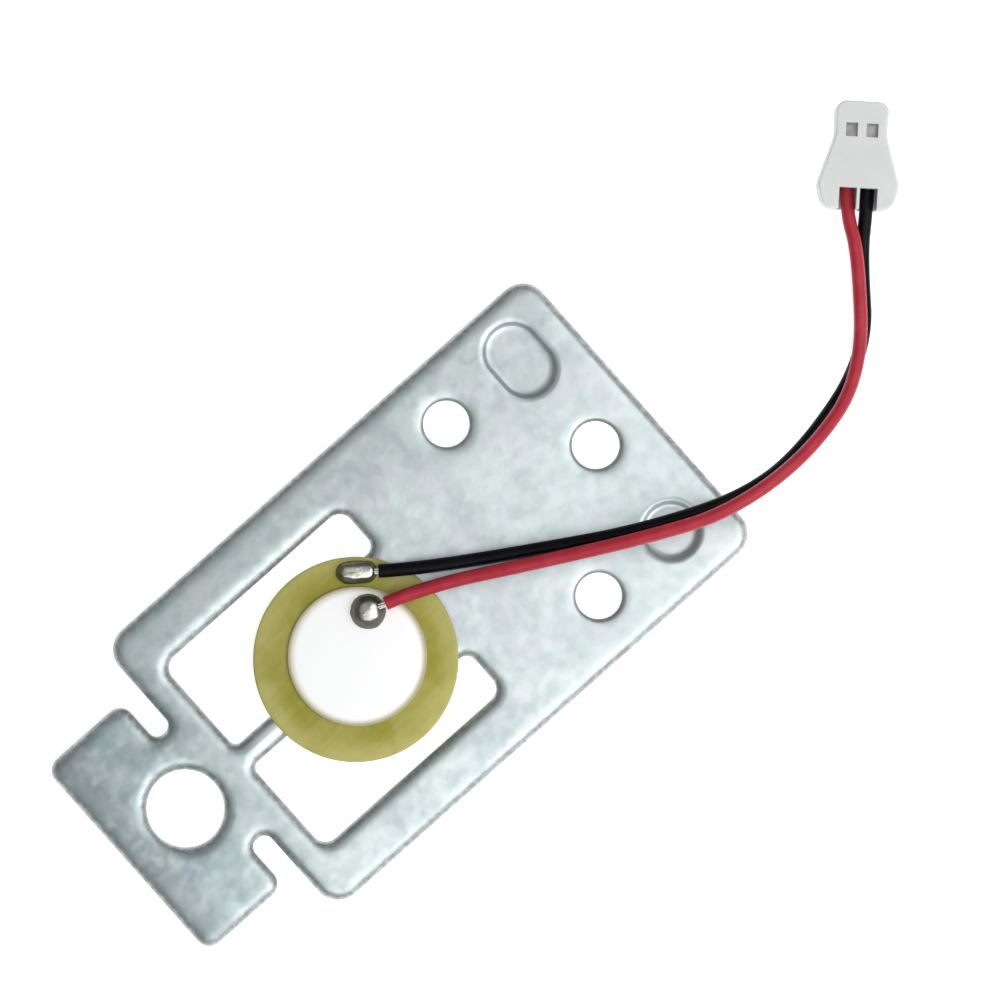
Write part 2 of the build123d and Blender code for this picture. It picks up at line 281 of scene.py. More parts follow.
class DiscSettings(bpy.types.PropertyGroup):
    brass: colour_setting("Brass", "Colour of the clean brass", 0.455, 0.42, 0.135)
    tarnish: colour_setting(
        "Tarnish", "Colour of the dull patches on the brass", 0.28, 0.255, 0.02)
    silver: colour_setting("Silver", "Colour of the fired silver electrode", 0.99, 0.99, 0.985)
    ceramic: colour_setting("Ceramic", "Colour of the bare rim of the ceramic", 0.84, 0.82, 0.73)


class LeadSettings(bpy.types.PropertyGroup):
    diameter: size_setting("Diameter", "Outside diameter of each lead", 1.0, 0.5, 1.2)
    black: colour_setting("Black insulation", "Colour of the black lead", 0.002, 0.002, 0.004)
    red: colour_setting("Red insulation", "Colour of the red lead", 0.37, 0.018, 0.034)


class ConnectorSettings(bpy.types.PropertyGroup):
    edge: size_setting(
        "Edge rounding", "Radius of the moulded edges of the housing", 0.16, 0.02, 0.3)
    nylon: colour_setting("Nylon", "Colour of the natural white housing", 0.665, 0.675, 0.665)
    tin: colour_setting("Tin plate", "Colour of the terminals", 0.34, 0.33, 0.315)


class StudioSettings(bpy.types.PropertyGroup):
    view_distance: number_setting(
        "View distance", "From the camera to the middle of the picture", 0.40, 0.1, 2.0,
        unit="LENGTH")
    view_width: size_setting(
        "View width", "What the picture spans at the level of the plate", 73.07, 20, 500)
    view_tilt: number_setting(
        "View tilt", "How far the camera leans over towards the tab", 0.0, -0.5, 0.5,
        subtype="ANGLE")
    panel_glow: number_setting(
        "Panel light", "Brightness of the wide panel over one side of the part", 1.0, 0, 20)
    key_glow: number_setting(
        "Key light", "Brightness of the small softbox that draws the highlights", 3.2, 0, 50)
    sky: number_setting("Room light", "Strength of the soft light from all round", 0.5, 0, 5)
    floor: colour_setting("Floor", "Colour of the floor", 0.95, 0.95, 0.95)


# ---- modelling helpers ----
def clear_selection():
    if bpy.context.mode != "OBJECT":
        bpy.ops.object.mode_set(mode="OBJECT")
    bpy.ops.object.select_all(action="DESELECT")


def make_active(piece):
    clear_selection()
    piece.select_set(True)
    bpy.context.view_layer.objects.active = piece


def settle(piece):
    """Apply a piece's place, turn and scale to its mesh."""
    make_active(piece)
    bpy.ops.object.transform_apply(location=True, rotation=True, scale=True)
    return piece


def block(low, high):
    """A box between two corners."""
    clear_selection()
    low, high = Vector(low), Vector(high)
    bpy.ops.mesh.primitive_cube_add(size=1, location=(low + high) / 2, scale=high - low)
    return settle(bpy.context.object)


def rod(centre, radius, bottom, top, segments=96):
    """An upright cylinder between two heights."""
    clear_selection()
    bpy.ops.mesh.primitive_cylinder_add(
        vertices=segments, radius=radius, depth=top - bottom,
        location=(centre[0], centre[1], (bottom + top) / 2))
    return settle(bpy.context.object)


def outline(points, filled=False, closed=True):
    """A piece that holds a flat outline: one face, or only its edges."""
    clear_selection()
    bpy.ops.mesh.primitive_plane_add(size=1)
    piece = bpy.context.object
    mesh = bmesh.new()
    verts = [mesh.verts.new(point) for point in points]
    if filled:
        mesh.faces.new(verts)
    else:
        for pair in list(zip(verts, verts[1:])) + [(verts[-1], verts[0])] * closed:
            mesh.edges.new(pair)
    mesh.to_mesh(piece.data)
    mesh.free()
    return piece


def choose(piece, kind, test):
    """Enter edit mode with only the edges or the faces selected that pass the test."""
    make_active(piece)
    bpy.ops.object.mode_set(mode="EDIT")
    bpy.ops.mesh.select_mode(type=kind)
    bpy.ops.mesh.select_all(action="DESELECT")
    mesh = bmesh.from_edit_mesh(piece.data)
    if kind == "FACE":
        mesh.normal_update()
    found = [part for part in (mesh.faces if kind == "FACE" else mesh.edges) if test(part)]
    for part in found:
        part.select_set(True)
    bmesh.update_edit_mesh(piece.data)
    return len(found)


def choose_edges(piece, test=lambda a, b: True):
    """Choose edges by their two ends."""
    return choose(piece, "EDGE", lambda edge: test(edge.verts[0].co, edge.verts[1].co))


def choose_faces(piece, test=lambda c, n: True):
    """Choose faces by their middle and their normal."""
    return choose(piece, "FACE", lambda face: test(face.calc_center_median(), face.normal))


def leave_edit():
    bpy.ops.object.mode_set(mode="OBJECT")


def face_outwards():
    """Turn all normals outwards and leave edit mode."""
    bpy.ops.mesh.select_all(action="SELECT")
    bpy.ops.mesh.normals_make_consistent(inside=False)
    leave_edit()


def extrude(shift):
    bpy.ops.mesh.extrude_region_move(TRANSFORM_OT_translate={"value": shift})


def inset_steps(steps):
    """Inset the chosen faces from each step to the next, each inwards and up."""
    for before, after in zip(steps, steps[1:]):
        bpy.ops.mesh.inset(thickness=after[0] - before[0], depth=after[1] - before[1],
                           use_boundary=True, use_even_offset=True)


def round_corners(piece, radius, test=lambda point: True, segments=10):
    """Round the upright edges that pass the test."""
    def upright(a, b):
        return (abs(a.x - b.x) < CLOSE and abs(a.y - b.y) < CLOSE and abs(a.z - b.z) > NEAR
                and test(a))
    if choose_edges(piece, upright):
        bpy.ops.mesh.bevel(offset=radius, segments=segments, affect="EDGES")
    leave_edit()
    return piece


def combine(piece, tool, operation):
    """Join a tool to a piece, or cut it out, and remove the tool."""
    apply_modifier(piece, "BOOLEAN", operation=operation, solver="EXACT", object=tool)
    bpy.data.objects.remove(tool)
    return piece


def cut(piece, tool):
    return combine(piece, tool, "DIFFERENCE")


def tidy_mesh(piece):
    """Merge doubles and dissolve the seams that joining leaves in flat faces."""
    make_active(piece)
    bpy.ops.object.mode_set(mode="EDIT")
    bpy.ops.mesh.select_all(action="SELECT")
    bpy.ops.mesh.remove_doubles(threshold=CLOSE)
    bpy.ops.mesh.dissolve_limited(angle_limit=math.radians(0.3))
    bpy.ops.mesh.normals_make_consistent(inside=False)
    leave_edit()
    return piece


def apply_modifier(piece, kind, **settings):
    make_active(piece)
    modifier = piece.modifiers.new(kind.lower(), kind)
    for name, value in settings.items():
        setattr(modifier, name, value)
    bpy.ops.object.modifier_apply(modifier=modifier.name)
    return piece


def merge(pieces):
    """Make one piece of several."""
    make_active(pieces[0])
    for piece in pieces[1:]:
        piece.select_set(True)
    bpy.ops.object.join()
    return pieces[0]


def shade(piece, degrees=35.0):
    """Smooth shading that keeps the sharper edges and the flat faces."""
    make_active(piece)
    bpy.ops.object.shade_smooth_by_angle(angle=math.radians(degrees))
    return piece


def finish_piece(piece, name, material, stands_for=()):
    """Name a piece, give it its material and let it ride on the part."""
    piece.name = name
    piece.data.name = name
    piece.data.materials.clear()
    piece.data.materials.append(material)
    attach(piece, "root")
    if stands_for:
        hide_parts(*stands_for)
    return piece


# ---- material helpers ----
class Nodes:
    """A node tree, with short ways to add and link nodes."""

    def __init__(self, tree):
        self.tree = tree

    def add(self, kind, **settings):
        node = self.tree.nodes.new("ShaderNode" + kind)
        for name, value in settings.items():
            setattr(node, name, value)
        return node

    def put(self, socket, value):
        """Link an output to a socket, or give the socket a value."""
        if isinstance(value, bpy.types.NodeSocket):
            self.tree.links.new(value, socket)
        else:
            socket.default_value = value

    def feed(self, node, **inputs):
        for name, value in inputs.items():
            self.put(node.inputs[name.replace("_", " ")], value)
        return node

    def ramp(self, source, low, high, out_low=0.0, out_high=1.0, smooth=True):
        node = self.add("MapRange", interpolation_type="SMOOTHSTEP" if smooth else "LINEAR")
        self.feed(node, Value=source, From_Min=low, From_Max=high, To_Min=out_low,
                  To_Max=out_high)
        return node.outputs["Result"]

    def blend(self, share, first, second):
        """Colour that goes from first to second, each a colour or an output."""
        node = self.add("Mix", data_type="RGBA")
        first, second = (value if isinstance(value, bpy.types.NodeSocket) else (*value, 1.0)
                         for value in (first, second))
        return self.feed(node, Factor=share, A=first, B=second).outputs["Result"]

    def maths(self, operation, *values):
        node = self.add("Math", operation=operation)
        for socket, value in zip(node.inputs, values):
            self.put(socket, value)
        return node.outputs["Value"]

    def times(self, product, *others):
        for other in others:
            product = self.maths("MULTIPLY", product, other)
        return product

    def size(self, value):
        """The value without its sign."""
        return self.maths("ABSOLUTE", value)

    def vector(self, operation, source, other):
        """A number from two vectors: the distance between them or their dot product."""
        node = self.add("VectorMath", operation=operation)
        self.put(node.inputs[0], source)
        self.put(node.inputs[1], other)
        return node.outputs["Value"]

    def axis(self, source, name):
        return self.feed(self.add("SeparateXYZ"), Vector=source).outputs[name]


class Recipe(Nodes):
    """A material that is laid out by the part's own coordinates."""

    def __init__(self, name, **surface):
        self.material = bpy.data.materials.new(name)
        self.material.use_nodes = True
        super().__init__(self.material.node_tree)
        self.shader = self.feed(self.tree.nodes["Principled BSDF"], **surface)
        self.place = self.add("TexCoord").outputs["Object"]

    def noise(self, scale, detail=3.0, roughness=0.5, stretch=None, distortion=0.0):
        source = self.place
        if stretch:
            source = self.feed(self.add("Mapping"), Vector=source, Scale=stretch).outputs["Vector"]
        node = self.feed(self.add("TexNoise"), Vector=source, Scale=scale, Detail=detail,
                         Roughness=roughness, Distortion=distortion)
        return node.outputs["Fac"]

    def zone(self, source, name, out_low=0.0, out_high=1.0):
        """How far a place lies into one of the named zones."""
        start, full = ZONES[name]
        return self.ramp(source, start * MM, full * MM, out_low, out_high)

    def reach(self, centre):
        """How far a place lies from a point."""
        return self.vector("DISTANCE", self.place, centre)

    def facing(self):
        """How far a surface faces up, or down below zero."""
        return self.axis(self.add("NewGeometry").outputs["Normal"], "Z")

    def base(self, share, first, second):
        self.feed(self.shader, Base_Color=self.blend(share, first, second))

    def rough(self, share, low, high):
        self.feed(self.shader, Roughness=self.ramp(share, 0.0, 1.0, low, high, smooth=False))

    def bump(self, height, distance, strength, under=None):
        node = self.feed(self.add("Bump"), Distance=distance, Strength=strength, Height=height)
        if under is not None:
            self.feed(node, Normal=under)
        self.feed(self.shader, Normal=node.outputs["Normal"])
        return node.outputs["Normal"]


def scaled(colour, share):
    return [share * part for part in colour]


def small_holes():
    """The middles and radii of the three screw holes."""
    pair, end = MOUNTS["screw_hole_pair"], MOUNTS["end_screw_hole"]
    half = pair["dims"]["spacing_y_mm"] / 2 * MM
    holes = [(Vector(end["pos_m"][:2]), end["dims"]["r_mm"] * MM)]
    return holes + [(Vector((pair["pos_m"][0], side * half)), pair["dims"]["hole_r_mm"] * MM)
                    for side in (-1, 1)]


# ---- materials ----
def zinc_material(settings):
    """Zinc-plated steel: soft clouds with a faint tint, a fine grain, streaked cut walls, painted
    shade on the steep faces and towards the tab, and a painted highlight on the tongue.
    """
    recipe = Recipe("zinc_plating", Metallic=0.9, Specular_IOR_Level=0.5)
    along, sideways = (recipe.axis(recipe.place, name) for name in "XY")
    across = recipe.size(sideways)
    clouds = recipe.ramp(recipe.noise(330.0, distortion=0.6), 0.34, 0.66)
    spots = recipe.ramp(recipe.noise(1100.0, 2.0), 0.34, 0.66)
    shares = recipe.maths("ADD", recipe.times(clouds, 0.6), recipe.times(spots, 0.4))
    lilac = recipe.times(recipe.ramp(recipe.noise(380.0), 0.46, 0.62),
                         recipe.zone(along, "lilac", 0.18, 0.42))
    middling = [(a + b) / 2 for a, b in zip(settings.light_zinc, settings.dark_zinc)]
    tab_shade = recipe.times(recipe.zone(along, "tab_shade"),
                           recipe.zone(sideways, "tab_shade_side", 0.5, 1.0))
    blotches = recipe.ramp(recipe.noise(430.0, 2.0, distortion=0.5), 0.42, 0.62)
    blotched_shade = recipe.times(recipe.zone(along, "blotched_shade"), recipe.ramp(blotches, 0.0, 1.0, 0.4, 1.1))
    mottle_and_shade = recipe.maths("MAXIMUM", tab_shade, recipe.zone(sideways, "rail_shade_side", 0.0, 0.5))
    mottle = recipe.noise(820.0, 1.5)
    veins = recipe.maths("SUBTRACT", recipe.noise(300.0, 1.0, 0.4, distortion=0.6), 0.5)
    tongue = recipe.times(recipe.zone(across, "tongue_side"), recipe.zone(along, "tongue_start"),
                          recipe.zone(along, "tongue_end"))
    flat = recipe.blend(shares, settings.light_zinc, settings.dark_zinc)
    for share, colour in (
            (lilac, settings.tint_zinc),
            (recipe.zone(along, "even", 0.0, 0.45), middling),
            # painted shade: darker towards the tab
            (recipe.times(tab_shade, 0.55), settings.dark_zinc),
            # bluish blotches, partly painted shade
            (recipe.times(blotched_shade, 0.75), BLOTCHED_SHADE_ZINC),
            # painted shade: the outer end of the tab darker
            (recipe.zone(along, "tab_end_shade", 0.0, 0.7), TAB_END_SHADE_ZINC),
            # dull mottles and light flecks: partly the plating's own mottle, partly painted shade
            # and painted glints
            (recipe.times(recipe.ramp(mottle, 0.50, 0.66), mottle_and_shade, 0.6), DULL_ZINC),
            (recipe.times(recipe.ramp(mottle, 0.48, 0.28), mottle_and_shade, 0.42), settings.light_zinc),
            (recipe.times(recipe.ramp(recipe.size(veins), 0.06, 0.0), tab_shade, 0.16),
             settings.light_zinc),
            # painted highlight: the tongue lighter than the plating round it
            (recipe.times(tongue, 0.7), TONGUE_HIGHLIGHT_ZINC)):
        flat = recipe.blend(share, flat, colour)

    lift = recipe.size(recipe.facing())
    # painted shade: the steeper a face, the more it takes the darker cut colour, on the sheared
    # walls and on the steep corners of the rolled edges alike
    wall = recipe.ramp(lift, 0.965, 0.79)
    # less painted shade on the steep faces of the recesses
    aside = recipe.size(recipe.maths("SUBTRACT", along, RECESS_X))
    pressed = recipe.times(recipe.zone(aside, "recess_ends"), recipe.zone(across, "recess_outer"),
                           recipe.zone(across, "recess_inner"))
    wall = recipe.times(wall, recipe.ramp(pressed, 0.0, 1.0, 1.0, 0.25))
    # less painted shade round the small holes
    for centre, radius in small_holes():
        rim = recipe.ramp(recipe.reach((*centre, PLATE_TOP)), radius + 0.6 * MM,
                          radius + 0.4 * MM, 1.0, 0.6)
        wall = recipe.times(wall, rim)
    streaks = recipe.ramp(recipe.noise(2600.0, 2.0, 0.6, stretch=(1.0, 1.0, 0.12)), 0.35, 0.65)
    streaked_and_shaded = recipe.blend(streaks, scaled(settings.cut_and_shaded_zinc, 1.15),
                            scaled(settings.cut_and_shaded_zinc, 0.8))
    # painted shade: the steepest faces darker still
    streaked_and_shaded = recipe.blend(recipe.ramp(lift, 0.60, 0.40, 0.0, 0.6), streaked_and_shaded,
                            scaled(settings.cut_and_shaded_zinc, 0.6))
    recipe.base(wall, flat, streaked_and_shaded)
    recipe.rough(shares, 0.34, 0.46)
    low = recipe.bump(recipe.noise(380.0, roughness=0.55), 0.06 * MM, 0.7)
    creased = recipe.bump(recipe.times(recipe.noise(560.0, 1.5, 0.4), tab_shade), 0.1 * MM, 0.8,
                          under=low)
    recipe.bump(recipe.noise(9000.0, 2.0), 0.006 * MM, 0.4, under=creased)
    return recipe.material


def brass_material(settings):
    """Rolled brass with olive tarnish and faint rolling lines, and a painted reflection that makes
    it paler towards its edge.
    """
    recipe = Recipe("tarnished_brass", Metallic=0.15, Specular_IOR_Level=0.3)
    clouds = recipe.ramp(recipe.noise(330.0, distortion=0.4), 0.34, 0.66)
    lines = recipe.noise(2400.0, 2.0, stretch=(0.08, 1.0, 1.0))
    outwards = recipe.ramp(recipe.reach((*BRASS_CENTRE.xy, BRASS_TOP)), 0.72 * BRASS_R,
                           BRASS_R)
    dull = recipe.maths("ADD", recipe.times(clouds, 0.38),
                        recipe.times(recipe.ramp(lines, 0.4, 0.6), 0.12))
    # painted reflection: less tarnish colour towards the rim, so the brass is paler there
    dull = recipe.maths("SUBTRACT", recipe.maths("ADD", dull, 0.45), recipe.times(outwards, 0.6))
    recipe.base(dull, settings.brass, settings.tarnish)
    recipe.rough(dull, 0.36, 0.55)
    recipe.bump(lines, 0.006 * MM, 0.5)
    return recipe.material


def ceramic_material(settings):
    """Matt fired ceramic with a sandy grain, darker towards its rim."""
    recipe = Recipe("fired_ceramic", Specular_IOR_Level=0.35)
    grain = recipe.noise(6000.0, roughness=0.6)
    pale = recipe.blend(recipe.ramp(grain, 0.3, 0.7), settings.ceramic,
                        scaled(settings.ceramic, 0.92))
    outer = recipe.ramp(recipe.reach((*CERAMIC_CENTRE.xy, CERAMIC_TOP)), SILVER_R,
                        CERAMIC_R - 0.08 * MM)
    recipe.base(outer, pale, (0.44, 0.41, 0.27))
    recipe.rough(grain, 0.5, 0.75)
    recipe.bump(grain, 0.01 * MM, 0.5)
    return recipe.material


def silver_material(settings):
    """Screen-printed and fired silver: matt white, thin at its rim, with the screen's weave."""
    recipe = Recipe("fired_silver", Specular_IOR_Level=0.5)
    grain = recipe.noise(5200.0, roughness=0.6)
    stains = recipe.times(recipe.ramp(recipe.noise(260.0), 0.5, 0.75), 0.35)
    white = recipe.blend(stains, settings.silver, scaled(settings.silver, 0.95))
    thin = recipe.ramp(recipe.reach((*CERAMIC_CENTRE.xy, SILVER_TOP)), SILVER_R - 0.25 * MM,
                       SILVER_R, 0.0, 0.6)
    recipe.base(thin, white, settings.ceramic)
    recipe.rough(grain, 0.45, 0.65)
    weave = recipe.add("TexWave", wave_type="BANDS", bands_direction="DIAGONAL")
    recipe.feed(weave, Vector=recipe.place, Scale=1500.0, Distortion=1.5)
    low = recipe.bump(weave.outputs["Fac"], 0.002 * MM, 0.4)
    recipe.bump(grain, 0.008 * MM, 0.5, under=low)
    return recipe.material


def solder_material():
    """Tin solder, bright on its crown with grey patches of flux, and with painted shade down its
    steep sides.
    """
    recipe = Recipe("tin_solder", Metallic=1.0)
    flux = recipe.ramp(recipe.noise(900.0, roughness=0.6), 0.42, 0.68)
    crown = recipe.blend(flux, (0.66, 0.66, 0.62), (0.38, 0.38, 0.33))
    # painted shade: the steeper the face, the darker
    side = recipe.ramp(recipe.facing(), 0.97, 0.76)
    recipe.base(side, crown, (0.17, 0.165, 0.13))
    recipe.rough(side, 0.20, 0.42)
    recipe.bump(recipe.noise(1300.0, 2.0), 0.02 * MM, 0.5)
    return recipe.material


def strand_material():
    """Tinned copper strands."""
    recipe = Recipe("tinned_strands", Metallic=1.0)
    grain = recipe.noise(7000.0, 2.0)
    recipe.base(recipe.ramp(grain, 0.35, 0.65), (0.70, 0.68, 0.64), (0.56, 0.50, 0.44))
    recipe.rough(grain, 0.22, 0.38)
    return recipe.material


def adhesive_material():
    """A thin film of amber adhesive."""
    recipe = Recipe("cured_adhesive", Transmission_Weight=0.25, IOR=1.5, Specular_IOR_Level=0.5)
    cloud = recipe.noise(900.0, 2.0)
    recipe.base(recipe.ramp(cloud, 0.3, 0.7), (0.72, 0.64, 0.42), (0.60, 0.50, 0.28))
    recipe.rough(cloud, 0.2, 0.35)
    recipe.bump(cloud, 0.01 * MM, 0.4)
    return recipe.material


def insulation_material(name, colour, faded, sheen):
    """Soft vinyl insulation: satin, with a faint drawn texture and slight dust."""
    recipe = Recipe(name, Specular_IOR_Level=sheen)
    drift = recipe.ramp(recipe.noise(600.0), 0.4, 0.7)
    recipe.base(recipe.times(drift, 0.6), colour, faded)
    recipe.rough(recipe.ramp(recipe.noise(3800.0, roughness=0.6), 0.45, 0.75), 0.32, 0.48)
    recipe.bump(recipe.noise(2600.0), 0.012 * MM, 0.5)
    return recipe.material


def nylon_material(settings):
    """Natural white nylon: faintly translucent, satin, with a moulded texture."""
    recipe = Recipe("natural_nylon", Specular_IOR_Level=0.45, Subsurface_Weight=0.35,
                    Subsurface_Scale=0.6 * MM, Subsurface_Radius=(1.0, 1.0, 0.9))
    cloud = recipe.times(recipe.ramp(recipe.noise(700.0), 0.35, 0.7), 0.5)
    grain = recipe.noise(9000.0, 2.0)
    recipe.base(cloud, settings.nylon, scaled(settings.nylon, 0.93))
    recipe.rough(grain, 0.38, 0.52)
    recipe.bump(grain, 0.006 * MM, 0.4)
    return recipe.material


def tin_material(settings):
    """Tin-plated bronze strip with drawn lines along the terminal."""
    recipe = Recipe("tin_plate", Metallic=1.0)
    lines = recipe.noise(4200.0, 2.0, stretch=(0.15, 1.0, 1.0))
    recipe.base(recipe.ramp(lines, 0.35, 0.65), settings.tin, scaled(settings.tin, 0.8))
    recipe.rough(lines, 0.25, 0.42)
    recipe.bump(lines, 0.006 * MM, 0.4)
    return recipe.material


# ---- leads ----
def lead_curve(name, route, diameter):
    """One smooth lead on a spline whose control points are the route's points."""
    curve = bpy.data.curves.new(name, "CURVE")
    curve.dimensions = "3D"
    spline = curve.splines.new("NURBS")
    spline.points.add(len(route) - 1)
    for point, place in zip(spline.points, route):
        point.co = (*(Vector(place) * MM), 1.0)
    spline.order_u = 3
    spline.use_endpoint_u = True
    spline.resolution_u = 24
    spline.use_smooth = True
    curve.bevel_depth = diameter / 2
    curve.bevel_resolution = 8
    curve.use_fill_caps = True
    piece = bpy.data.objects.new(name, curve)
    bpy.context.scene.collection.objects.link(piece)
    return piece


class SENSOR_OT_leads(bpy.types.Operator):
    """Add the black and the red lead"""
    bl_idname = "piezo_sensor.leads"
    bl_label = "Leads"

    def execute(self, context):
        settings = context.scene.sensor_leads
        for colour_name, route, colour, faded, sheen in (
                ("black", BLACK_ROUTE, settings.black, FADED_BLACK, BLACK_SHEEN),
                ("red", RED_ROUTE, settings.red, FADED_RED, RED_SHEEN)):
            name, slot = colour_name + "_lead", colour_name + "_insulation"
            finish_piece(lead_curve(name, route, settings.diameter), name,
                         insulation_material(slot, colour, faded, sheen),
                         [colour_name + "_wire"])
        return {"FINISHED"}


# ---- plate ----
def rolled_level(settings):
    """Where the sheared wall ends and the steep corner starts."""
    return PLATE_TOP - settings.roll_depth - settings.corner_depth


def plate_blank():
    """The outline of the plate: frame, tab and the bar between the notches."""
    top = rolled_level(bpy.context.scene.sensor_plate)
    left = PLATE_LOW.x
    body = round_corners(block((FRAME_START, -HALF_WIDTH, PLATE_BOTTOM),
                               (PLATE_HIGH.x, HALF_WIDTH, top)), FRAME_CORNER_R, segments=12)
    tab = round_corners(block((left, -TAB_HALF, PLATE_BOTTOM),
                              (left + TAB_LEN, TAB_HALF, top)), TAB_CORNER_R)
    bar = block((left + TAB_LEN - BAR_OVERLAP, -NOTCH_HALF, PLATE_BOTTOM),
                (FRAME_START + BAR_OVERLAP, NOTCH_HALF, top))
    combine(body, tab, "UNION")
    combine(body, bar, "UNION")
    tidy_mesh(body)
    return round_corners(body, NOTCH_CORNER_R, lambda p: abs(abs(p.y) - NOTCH_HALF) < NEAR, 8)


def window_cutter():
    """What is punched out on both sides of the tongue, the pad and the neck."""
    low, high = PLATE_BOTTOM - MM, PLATE_TOP + MM
    cutter = round_corners(block((WINDOW_START, -WINDOW_HALF, low),
                                 (WINDOW_END, WINDOW_HALF, high)), WINDOW_CORNER_R)
    cut(cutter, block((WINDOW_START - MM, -TONGUE_HALF, low - MM),
                      (BRASS_CENTRE.x, TONGUE_HALF, high + MM)))
    cut(cutter, block((BRASS_CENTRE.x, -NECK_HALF, low - MM),
                      (WINDOW_END + MM, NECK_HALF, high + MM)))
    tidy_mesh(cutter)
    round_corners(cutter, TONGUE_CORNER_R, lambda p: abs(abs(p.y) - TONGUE_HALF) < NEAR
                  and p.x < WINDOW_START + 0.1 * MM, 8)
    round_corners(cutter, NECK_CORNER_R, lambda p: abs(abs(p.y) - NECK_HALF) < NEAR
                  and p.x > WINDOW_END - 0.1 * MM, 8)
    cut(cutter, rod(BRASS_CENTRE, PAD_R, low - MM, high + MM, segments=160))
    return tidy_mesh(cutter)


def recess_shape(radius, bottom, top):
    """The long and the round recess, as two upright tools."""
    half = LONG_RECESS / 2 - RECESS_R
    long_one = rod((RECESS_X, RECESS_Y), radius, bottom, top, segments=64)
    for vertex in long_one.data.vertices:
        side = vertex.co.y - RECESS_Y
        if abs(side) > CLOSE:
            vertex.co.y += math.copysign(half, side)
    return long_one, rod((RECESS_X, -RECESS_Y), radius, bottom, top, segments=64)


class SENSOR_OT_plate(bpy.types.Operator):
    """Add the stamped plate with its soft upper edges, recesses and bosses"""
    bl_idname = "piezo_sensor.plate"
    bl_label = "Plate"

    def execute(self, context):
        settings = context.scene.sensor_plate
        plate = plate_blank()
        cut(plate, window_cutter())
        tab_hole = MOUNTS["tab_hole"]
        for centre, radius in [(tab_hole["pos_m"], tab_hole["dims"]["r_mm"] * MM),
                               *small_holes()]:
            cut(plate, rod(centre, radius, PLATE_BOTTOM - MM, PLATE_TOP + MM))
        tidy_mesh(plate)
        self.roll_edges(plate, settings)
        rim = RECESS_R + settings.recess_flare
        for tool in recess_shape(rim, PLATE_TOP + RIM_GAP, PLATE_TOP + MM):
            self.press(tool, settings)
            cut(plate, tool)
        for tool in recess_shape(RECESS_R - BOSS_DRAFT, PLATE_LOW.z, PLATE_BOTTOM + BOSS_SINK):
            combine(plate, tool, "UNION")
        self.soften_bottom(plate)
        self.prove(plate)
        shade(plate, 30.0)
        apply_modifier(plate, "WEIGHTED_NORMAL", keep_sharp=True, weight=80)
        finish_piece(plate, "stamped_plate", zinc_material(settings),
                     ["bracket_plate"])
        return {"FINISHED"}

    def press(self, tool, settings):
        """Give a recess tool a flared rim, a leaning wall and a filleted floor."""
        flare = settings.recess_flare
        steps = [(flare * k / LOOPS, FLARE_DROP * (k / LOOPS) ** 2) for k in range(LOOPS + 1)]
        steps += [(flare + across * MM, down * MM) for across, down in RECESS_STEPS]
        choose_faces(tool, lambda c, n: n.z < -0.9)
        inset_steps(steps)
        leave_edit()

    def roll_edges(self, plate, settings):
        """Round every upper edge: loops for the steep corner and the outer part of the soft
        roll, then a fine grid over the rest of the top, raised by its distance to the walls."""
        level = rolled_level(settings)
        walls = self.wall_tree(plate)
        if not choose_faces(plate, lambda c, n: n.z > 0.9 and abs(c.z - level) < NEAR):
            raise RuntimeError("the top of the plate wasn't found")
        steps = [(settings.corner_width * across, settings.corner_depth * up)
                 for across, up in CORNER_STEPS]
        steps += [(settings.corner_width + reach,
                   settings.corner_depth + settings.roll_depth - self.drop(reach, settings))
                  for reach in (LOOP_REACH * k / LOOPS for k in range(1, LOOPS + 1))]
        inset_steps(steps)
        leave_edit()
        top = PLATE_TOP - self.drop(LOOP_REACH, settings)
        self.lay_grid(plate, lambda c, n: n.z > 0.999 and abs(c.z - top) < CLOSE)
        for vertex in plate.data.vertices:
            if abs(vertex.co.z - top) < CLOSE:
                place = Vector((vertex.co.x, vertex.co.y, WALL_LEVEL))
                reach = walls.find_nearest(place)[3] - settings.corner_width
                if reach > LOOP_REACH + 0.01 * MM:
                    vertex.co.z = PLATE_TOP - self.drop(reach, settings)
        self.ease_holes(plate, level, settings)

    def ease_holes(self, plate, level, settings):
        """Make the edges round the small holes narrower and shallower than the others."""
        corner, ease = settings.corner_width, settings.hole_ease
        limit = corner + settings.roll_width
        for vertex in plate.data.vertices:
            if vertex.co.z < level - CLOSE:
                continue
            for centre, radius in small_holes():
                ray = vertex.co.xy - centre
                reach = ray.length - radius
                if reach > limit:
                    continue
                drawn = reach * ease
                if reach > corner:
                    drawn = corner * ease + (reach - corner) * (limit - corner * ease) / (
                        limit - corner)
                place = centre + ray.normalized() * (radius + drawn)
                roll = min(PLATE_TOP - vertex.co.z, settings.roll_depth)
                lip = HOLE_LIP * max(1 - reach / corner, 0.0) ** LIP_CURVE
                vertex.co = (*place, PLATE_TOP - (HOLE_ROLL * roll + lip))

    def drop(self, reach, settings):
        """How far the soft roll lies below the top, at a distance from the steep corner."""
        return settings.roll_depth * max(1 - reach / settings.roll_width, 0.0) ** 3

    def wall_tree(self, plate):
        """The sheared walls, to measure distances to."""
        points = [vertex.co.copy() for vertex in plate.data.vertices]
        walls = [list(face.vertices) for face in plate.data.polygons if abs(face.normal.z) < 0.1]
        return BVHTree.FromPolygons(points, walls)

    def lay_grid(self, plate, test):
        """Cut the faces that pass the test into small squares."""
        for axis, low, high in ((0, PLATE_LOW.x, PLATE_HIGH.x), (1, -HALF_WIDTH, HALF_WIDTH)):
            count = round((high - low) / GRID_STEP)
            for index in range(1, count):
                place, way = Vector(), Vector()
                place[axis] = low + (high - low) * index / count
                way[axis] = 1.0
                if choose_faces(plate, test):
                    bpy.ops.mesh.bisect(plane_co=place, plane_no=way)
                leave_edit()

